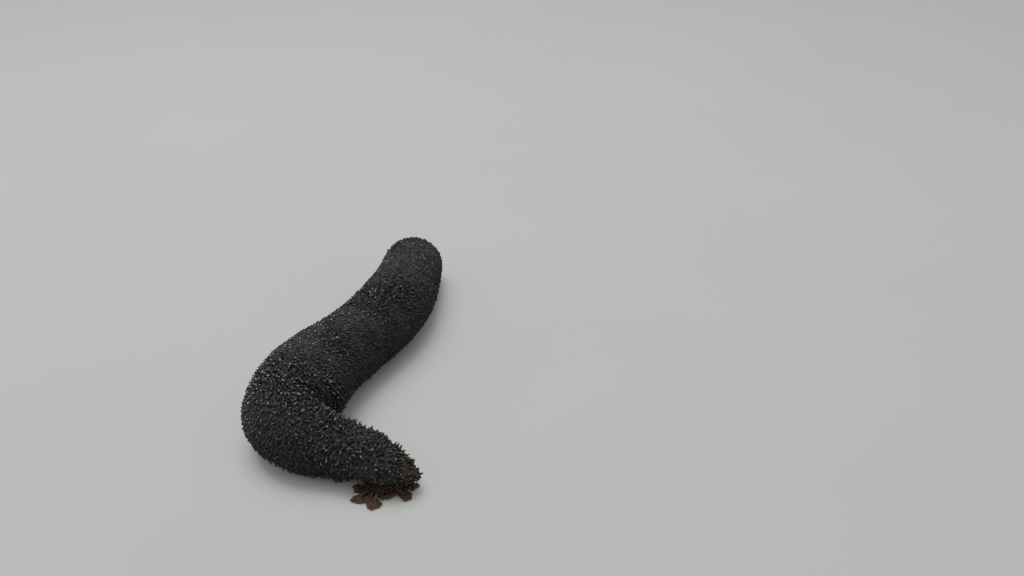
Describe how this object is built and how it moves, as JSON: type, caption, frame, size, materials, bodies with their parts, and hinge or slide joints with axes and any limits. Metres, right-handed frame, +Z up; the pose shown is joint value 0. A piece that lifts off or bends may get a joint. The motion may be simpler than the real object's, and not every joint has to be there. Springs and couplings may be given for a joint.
{
  "type": "sea cucumber",
  "caption": "Life-size still model of a black sea cucumber lying bent on the floor, covered in short papillae, with a crown of feelers spread under its mouth end.",
  "frame": {"origin": "under the middle of the model's box, on the plane of the sole", "axes": "+Z up from the sole to the back, +Y along the longest extent towards the hind end, +X towards the side that the mouth end points to"},
  "size_m": [0.0963, 0.2566, 0.0438],
  "materials": {
    "skin": "soft matte black skin with a brownish cast at the mouth end, covered in short papillae with paler pinkish-grey tips",
    "feelers": "moist rusty brown feelers with branched, paler ends"
  },
  "bodies": {
    "root": {"anal_end": "skin", "rear_trunk": "skin", "middle_trunk": "skin", "fore_trunk": "skin", "bend": "skin", "neck": "skin", "oral_end": "skin", "tentacle_crown": "feelers"}
  },
  "joints": []
}
